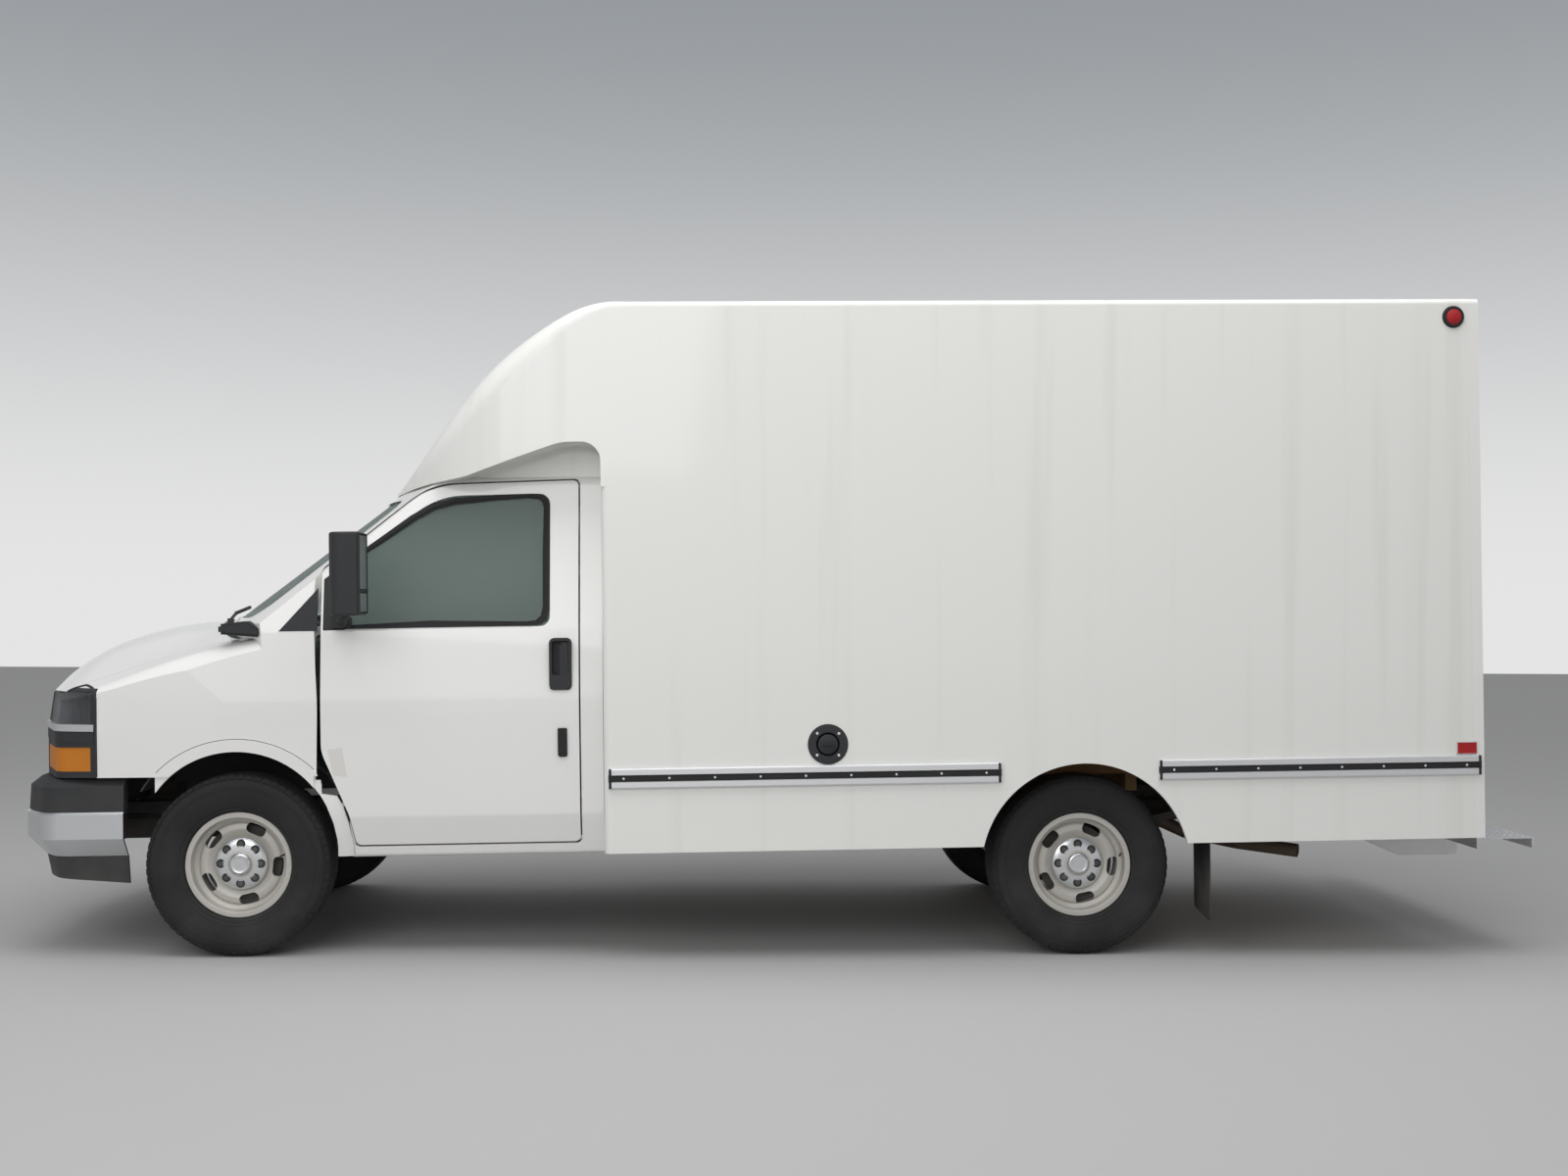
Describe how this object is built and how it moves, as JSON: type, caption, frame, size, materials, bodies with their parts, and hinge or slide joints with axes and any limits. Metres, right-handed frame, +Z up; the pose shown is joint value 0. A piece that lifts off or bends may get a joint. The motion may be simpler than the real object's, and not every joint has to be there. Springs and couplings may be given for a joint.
{
  "type": "box truck on a cutaway van cab",
  "caption": "White box truck: short van cab with two doors, one-piece load body with a nose over the cab, rear step, single rear wheels, working doors, hood, steering and wheels.",
  "frame": {"origin": "on the ground below the middle of the truck's outline", "axes": "+X towards the rear, +Y to the truck's right, +Z up"},
  "size_m": [6.4862, 2.58, 2.8001],
  "materials": {
    "white_paint": "gloss",
    "black_plastic": "textured",
    "chrome": "polished",
    "glass": "clear, lightly tinted",
    "clear_lens": "clear over a fluted reflector",
    "amber_lens": "gloss",
    "red_lens": "gloss",
    "tyre_rubber": "matte",
    "black_rubber": "matte",
    "wheel_steel": "satin",
    "frame_black": "satin",
    "cast_metal": "rough",
    "exhaust_steel": "dull",
    "bare_aluminium": "brushed",
    "floor_wood": "worn",
    "seat_vinyl": "satin",
    "interior_grey": "grained",
    "fibreglass": "gloss"
  },
  "bodies": {
    "truck": {"air_dam": "black_plastic", "box_floor": "floor_wood", "box_shell": "fibreglass", "bumper_pad": "black_plastic", "cab_shell": "white_paint", "chassis_frame": "frame_black", "cowl": "black_plastic", "dashboard": "interior_grey", "engine": "cast_metal", "engine_cover": "interior_grey", "exhaust": "exhaust_steel", "fenders": "white_paint", "front_bumper": "chrome", "front_suspension": "frame_black", "fuel_filler": "black_plastic", "fuel_tank": "frame_black", "grille": "chrome", "headlamps": "clear_lens", "lamp_bezels": "black_plastic", "marker_lamps": "red_lens", "mud_flaps": "black_rubber", "radiator": "frame_black", "rear_axle": "cast_metal", "rear_frame": "white_paint", "rear_step": "bare_aluminium", "rub_rails": "bare_aluminium", "seats": "seat_vinyl", "steering_column": "interior_grey", "tail_lamps": "red_lens", "turn_lamps": "amber_lens", "wheel_liners": "black_plastic", "windshield": "glass", "wipers": "black_plastic"},
    "hood": {"hood": "white_paint"},
    "door_left": {"door_left": "white_paint", "door_glass_left": "glass", "door_handle_left": "black_plastic", "mirror_left": "black_plastic"},
    "door_right": {"door_right": "white_paint", "door_glass_right": "glass", "door_handle_right": "black_plastic", "mirror_right": "black_plastic"},
    "rear_door_left": {"rear_door_left": "fibreglass"},
    "rear_door_right": {"rear_door_right": "fibreglass"},
    "steering_wheel": {"steering_wheel": "interior_grey"},
    "steer_left": {"knuckle_left": "cast_metal"},
    "steer_right": {"knuckle_right": "cast_metal"},
    "wheel_front_left": {"wheel_front_left": "wheel_steel", "tyre_front_left": "tyre_rubber"},
    "wheel_front_right": {"wheel_front_right": "wheel_steel", "tyre_front_right": "tyre_rubber"},
    "wheel_rear_left": {"wheel_rear_left": "wheel_steel", "tyre_rear_left": "tyre_rubber"},
    "wheel_rear_right": {"wheel_rear_right": "wheel_steel", "tyre_rear_right": "tyre_rubber"}
  },
  "joints": [
    {"name": "steer_left", "type": "hinge", "parent": "truck", "child": "steer_left", "pos_m": [-2.26028, -0.79, 0.38], "axis": [0, 0, 1], "range_deg": [-35, 35]},
    {"name": "steer_right", "type": "hinge", "parent": "truck", "child": "steer_right", "pos_m": [-2.26028, 0.79, 0.38], "axis": [0, 0, 1], "range_deg": [-35, 35]},
    {"name": "steering_wheel_turn", "type": "hinge", "parent": "truck", "child": "steering_wheel", "pos_m": [-1.71564, -0.41, 1.22312], "axis": [0.8567, 0, 0.5158], "range_deg": [-540, 540]},
    {"name": "door_left_hinge", "type": "hinge", "parent": "truck", "child": "door_left", "pos_m": [-1.87003, -0.955, 0.91524], "axis": [0.0183, 0, -0.9998], "range_deg": [0, 68]},
    {"name": "door_right_hinge", "type": "hinge", "parent": "truck", "child": "door_right", "pos_m": [-1.87003, 0.955, 0.91524], "axis": [-0.0183, 0, 0.9998], "range_deg": [0, 68]},
    {"name": "rear_door_left_hinge", "type": "hinge", "parent": "truck", "child": "rear_door_left", "pos_m": [2.96033, -1.04, 1.70389], "axis": [0.0183, 0, -0.9998], "range_deg": [0, 170]},
    {"name": "rear_door_right_hinge", "type": "hinge", "parent": "truck", "child": "rear_door_right", "pos_m": [2.96033, 1.04, 1.70389], "axis": [-0.0183, 0, 0.9998], "range_deg": [0, 170]},
    {"name": "hood_hinge", "type": "hinge", "parent": "truck", "child": "hood", "pos_m": [-2.2865, 0, 1.37369], "axis": [0, 1, 0], "range_deg": [0, 50]},
    {"name": "wheel_front_left_spin", "type": "hinge", "parent": "steer_left", "child": "wheel_front_left", "pos_m": [-2.26028, -0.867, 0.38], "axis": [0, 1, 0], "continuous": true},
    {"name": "wheel_front_right_spin", "type": "hinge", "parent": "steer_right", "child": "wheel_front_right", "pos_m": [-2.26028, 0.867, 0.38], "axis": [0, 1, 0], "continuous": true},
    {"name": "wheel_rear_left_spin", "type": "hinge", "parent": "truck", "child": "wheel_rear_left", "pos_m": [1.27072, -0.867, 0.38], "axis": [0, 1, 0], "continuous": true},
    {"name": "wheel_rear_right_spin", "type": "hinge", "parent": "truck", "child": "wheel_rear_right", "pos_m": [1.27072, 0.867, 0.38], "axis": [0, 1, 0], "continuous": true}
  ],
  "couplings": [
    {"joint": "steer_right", "follows": "steer_left", "ratio": 1},
    {"joint": "steering_wheel_turn", "follows": "steer_left", "ratio": 15.429}
  ]
}
